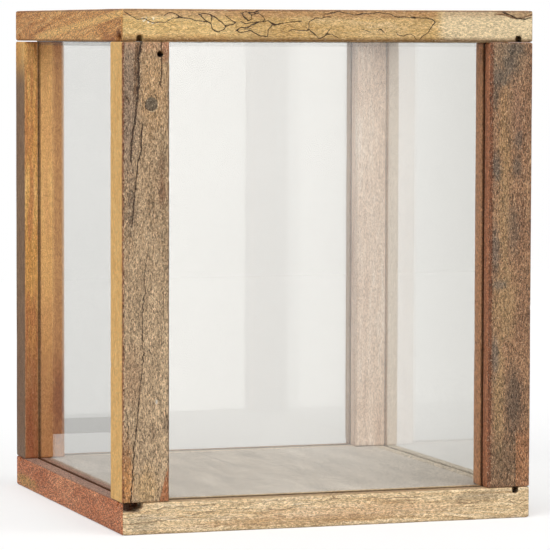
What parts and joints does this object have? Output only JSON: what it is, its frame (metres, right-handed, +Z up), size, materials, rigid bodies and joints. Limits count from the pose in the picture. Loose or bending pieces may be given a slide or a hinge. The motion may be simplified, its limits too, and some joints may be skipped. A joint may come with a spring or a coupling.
{
  "type": "display box",
  "caption": "Upright display box of mitred reclaimed boards and corner posts, with clear glass on its sides and a glazed lid that lifts off.",
  "frame": {"origin": "on the ground, under the middle of the box", "axes": "+Z up, +X to the right along the front, +Y from front to back"},
  "size_m": [0.336, 0.32, 0.4],
  "materials": {
    "spalted_wood": "worn, dry, dark wandering lines",
    "orange_wood": "worn, waxed",
    "tan_wood": "worn, dry",
    "red_wood": "worn, waxed",
    "brown_wood": "weathered",
    "grey_wood": "weathered, cracked",
    "floor_wood": "dry, faint grain",
    "tongue_wood": "planed, dry",
    "screw_steel": "zinc plated",
    "clear_glass": "clear, polished"
  },
  "bodies": {
    "box": {"base_rail_front": "tan_wood", "base_rail_back": "orange_wood", "base_rail_left": "red_wood", "base_rail_right": "tan_wood", "base_tongues": "tongue_wood", "base_screws": "screw_steel", "floor_board": "floor_wood", "post_front_left": "grey_wood", "post_front_right": "brown_wood", "post_back_left": "red_wood", "post_back_right": "tan_wood", "glass_front": "clear_glass", "glass_back": "clear_glass", "glass_left": "clear_glass", "glass_right": "clear_glass"},
    "lid": {"lid_rail_front": "spalted_wood", "lid_rail_back": "brown_wood", "lid_rail_left": "orange_wood", "lid_rail_right": "tan_wood", "lid_glass": "clear_glass", "lid_tongues": "tongue_wood"}
  },
  "joints": [
    {"name": "lid_lift", "type": "slide", "parent": "box", "child": "lid", "axis": [0, 0, 1], "range_m": [0, 0.16]}
  ]
}
